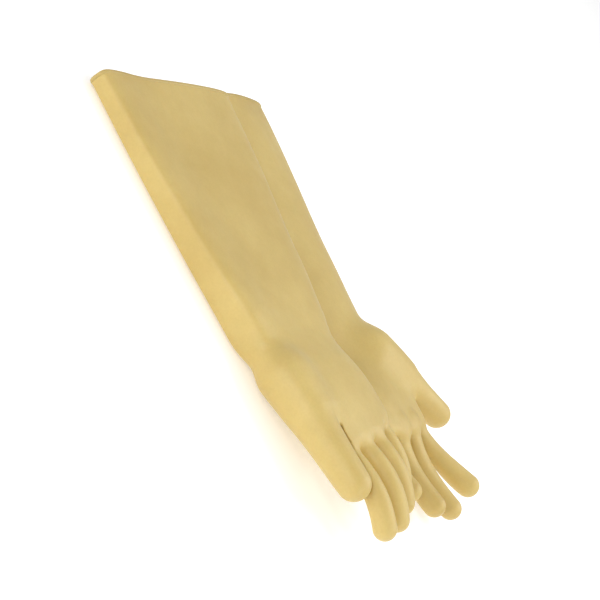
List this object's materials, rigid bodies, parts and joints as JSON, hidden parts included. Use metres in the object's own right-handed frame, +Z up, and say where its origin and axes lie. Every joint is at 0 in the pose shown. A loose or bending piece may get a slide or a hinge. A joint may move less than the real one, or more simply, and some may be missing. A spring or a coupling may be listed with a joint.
{
  "type": "electrical insulating gloves",
  "caption": "Pair of long natural rubber insulating gloves with gauntlet cuffs, lying palm down with one cuff lapped over the other; wrists, fingers and thumbs bend.",
  "frame": {"origin": "centre of the pair on the table it lies on", "axes": "+X from the cuff mouths towards the fingers, +Z up, right glove on the +Y side, left glove on the -Y side"},
  "size_m": [0.4584, 0.3216, 0.0562],
  "materials": {
    "latex": "satin natural latex rubber",
    "latex_bead": "satin natural latex rubber, thicker rolled edge"
  },
  "bodies": {
    "right_gauntlet_body": {"right_cuff_bead": "latex_bead", "right_gauntlet": "latex", "right_wrist": "latex"},
    "right_hand_body": {"right_palm": "latex", "right_thumb_root": "latex"},
    "right_thumb_tip_body": {"right_thumb_tip": "latex"},
    "right_index_root_body": {"right_index_root": "latex"},
    "right_index_tip_body": {"right_index_tip": "latex"},
    "right_middle_root_body": {"right_middle_root": "latex"},
    "right_middle_tip_body": {"right_middle_tip": "latex"},
    "right_ring_root_body": {"right_ring_root": "latex"},
    "right_ring_tip_body": {"right_ring_tip": "latex"},
    "right_little_root_body": {"right_little_root": "latex"},
    "right_little_tip_body": {"right_little_tip": "latex"},
    "left_gauntlet_body": {"left_cuff_bead": "latex_bead", "left_gauntlet": "latex", "left_wrist": "latex"},
    "left_hand_body": {"left_palm": "latex", "left_thumb_root": "latex"},
    "left_thumb_tip_body": {"left_thumb_tip": "latex"},
    "left_index_root_body": {"left_index_root": "latex"},
    "left_index_tip_body": {"left_index_tip": "latex"},
    "left_middle_root_body": {"left_middle_root": "latex"},
    "left_middle_tip_body": {"left_middle_tip": "latex"},
    "left_ring_root_body": {"left_ring_root": "latex"},
    "left_ring_tip_body": {"left_ring_tip": "latex"},
    "left_little_root_body": {"left_little_root": "latex"},
    "left_little_tip_body": {"left_little_tip": "latex"}
  },
  "joints": [
    {"name": "left_glove_lift", "type": "slide", "parent": "right_gauntlet_body", "child": "left_gauntlet_body", "axis": [0, 0, 1], "range_m": [0, 0.15]},
    {"name": "right_wrist_bend", "type": "hinge", "parent": "right_gauntlet_body", "child": "right_hand_body", "pos_m": [0.03436, 0.03896, 0.0203], "axis": [-0.2079, 0.9781, 0], "range_deg": [-30, 0], "stiffness_Nm_per_rad": 0.6, "deforming": ["right_wrist"]},
    {"name": "right_thumb_bend", "type": "hinge", "parent": "right_hand_body", "child": "right_thumb_tip_body", "pos_m": [0.10707, 0.13632, 0.0157], "axis": [0.0171, 0.0036, 0.9998], "range_deg": [-20, 25], "stiffness_Nm_per_rad": 0.05},
    {"name": "right_index_knuckle", "type": "hinge", "parent": "right_hand_body", "child": "right_index_root_body", "pos_m": [0.1473, 0.10237, 0.01581], "axis": [-0.3156, 0.9489, 0.0019], "range_deg": [-35, 0], "stiffness_Nm_per_rad": 0.08},
    {"name": "right_index_bend", "type": "hinge", "parent": "right_index_root_body", "child": "right_index_tip_body", "pos_m": [0.1738, 0.11118, 0.01564], "axis": [-0.3156, 0.9489, 0.0019], "range_deg": [-40, 0], "stiffness_Nm_per_rad": 0.05},
    {"name": "right_middle_knuckle", "type": "hinge", "parent": "right_hand_body", "child": "right_middle_root_body", "pos_m": [0.15585, 0.07705, 0.01768], "axis": [-0.2079, 0.9781, 0], "range_deg": [-35, 0], "stiffness_Nm_per_rad": 0.08},
    {"name": "right_middle_bend", "type": "hinge", "parent": "right_middle_root_body", "child": "right_middle_tip_body", "pos_m": [0.18707, 0.08369, 0.01727], "axis": [-0.2079, 0.9781, 0], "range_deg": [-40, 0], "stiffness_Nm_per_rad": 0.05},
    {"name": "right_ring_knuckle", "type": "hinge", "parent": "right_hand_body", "child": "right_ring_root_body", "pos_m": [0.1583, 0.05084, 0.01679], "axis": [-0.1253, 0.9921, -0.0015], "range_deg": [-35, 0], "stiffness_Nm_per_rad": 0.08},
    {"name": "right_ring_bend", "type": "hinge", "parent": "right_ring_root_body", "child": "right_ring_tip_body", "pos_m": [0.187, 0.05446, 0.01656], "axis": [-0.1253, 0.9921, -0.0015], "range_deg": [-40, 0], "stiffness_Nm_per_rad": 0.05},
    {"name": "right_little_knuckle", "type": "hinge", "parent": "right_hand_body", "child": "right_little_root_body", "pos_m": [0.15458, 0.02394, 0.01415], "axis": [-0.014, 0.9999, -0.0034], "range_deg": [-35, 0], "stiffness_Nm_per_rad": 0.08},
    {"name": "right_little_bend", "type": "hinge", "parent": "right_little_root_body", "child": "right_little_tip_body", "pos_m": [0.17553, 0.02424, 0.01436], "axis": [-0.014, 0.9999, -0.0034], "range_deg": [-40, 0], "stiffness_Nm_per_rad": 0.05},
    {"name": "left_wrist_bend", "type": "hinge", "parent": "left_gauntlet_body", "child": "left_hand_body", "pos_m": [0.04636, -0.07342, 0.0225], "axis": [-0.1011, 0.9925, 0.0692], "range_deg": [-30, 0], "stiffness_Nm_per_rad": 0.6, "deforming": ["left_wrist"]},
    {"name": "left_thumb_bend", "type": "hinge", "parent": "left_hand_body", "child": "left_thumb_tip_body", "pos_m": [0.15264, -0.11082, 0.01512], "axis": [0.1742, 0.0862, -0.9809], "range_deg": [0, 30], "stiffness_Nm_per_rad": 0.05},
    {"name": "left_index_knuckle", "type": "hinge", "parent": "left_hand_body", "child": "left_index_root_body", "pos_m": [0.17171, -0.10023, 0.04144], "axis": [-0.0325, 0.9961, 0.0817], "range_deg": [-35, 0], "stiffness_Nm_per_rad": 0.08},
    {"name": "left_index_bend", "type": "hinge", "parent": "left_index_root_body", "child": "left_index_tip_body", "pos_m": [0.19806, -0.09869, 0.0332], "axis": [-0.0325, 0.9961, 0.0817], "range_deg": [-40, 0], "stiffness_Nm_per_rad": 0.05},
    {"name": "left_middle_knuckle", "type": "hinge", "parent": "left_hand_body", "child": "left_middle_root_body", "pos_m": [0.1717, -0.07437, 0.04593], "axis": [-0.1011, 0.9925, 0.0692], "range_deg": [-35, 0], "stiffness_Nm_per_rad": 0.08},
    {"name": "left_middle_bend", "type": "hinge", "parent": "left_middle_root_body", "child": "left_middle_tip_body", "pos_m": [0.20179, -0.0707, 0.03714], "axis": [-0.1011, 0.9925, 0.0692], "range_deg": [-40, 0], "stiffness_Nm_per_rad": 0.05},
    {"name": "left_ring_knuckle", "type": "hinge", "parent": "left_hand_body", "child": "left_ring_root_body", "pos_m": [0.16632, -0.04901, 0.04605], "axis": [-0.1522, 0.9865, 0.0596], "range_deg": [-35, 0], "stiffness_Nm_per_rad": 0.08},
    {"name": "left_ring_bend", "type": "hinge", "parent": "left_ring_root_body", "child": "left_ring_tip_body", "pos_m": [0.19335, -0.04434, 0.03785], "axis": [-0.1522, 0.9865, 0.0596], "range_deg": [-40, 0], "stiffness_Nm_per_rad": 0.05},
    {"name": "left_little_knuckle", "type": "hinge", "parent": "left_hand_body", "child": "left_little_root_body", "pos_m": [0.15544, -0.02473, 0.04272], "axis": [-0.2197, 0.9744, 0.0466], "range_deg": [-35, 0], "stiffness_Nm_per_rad": 0.08},
    {"name": "left_little_bend", "type": "hinge", "parent": "left_little_root_body", "child": "left_little_tip_body", "pos_m": [0.17456, -0.0201, 0.03603], "axis": [-0.2197, 0.9744, 0.0466], "range_deg": [-40, 0], "stiffness_Nm_per_rad": 0.05}
  ]
}
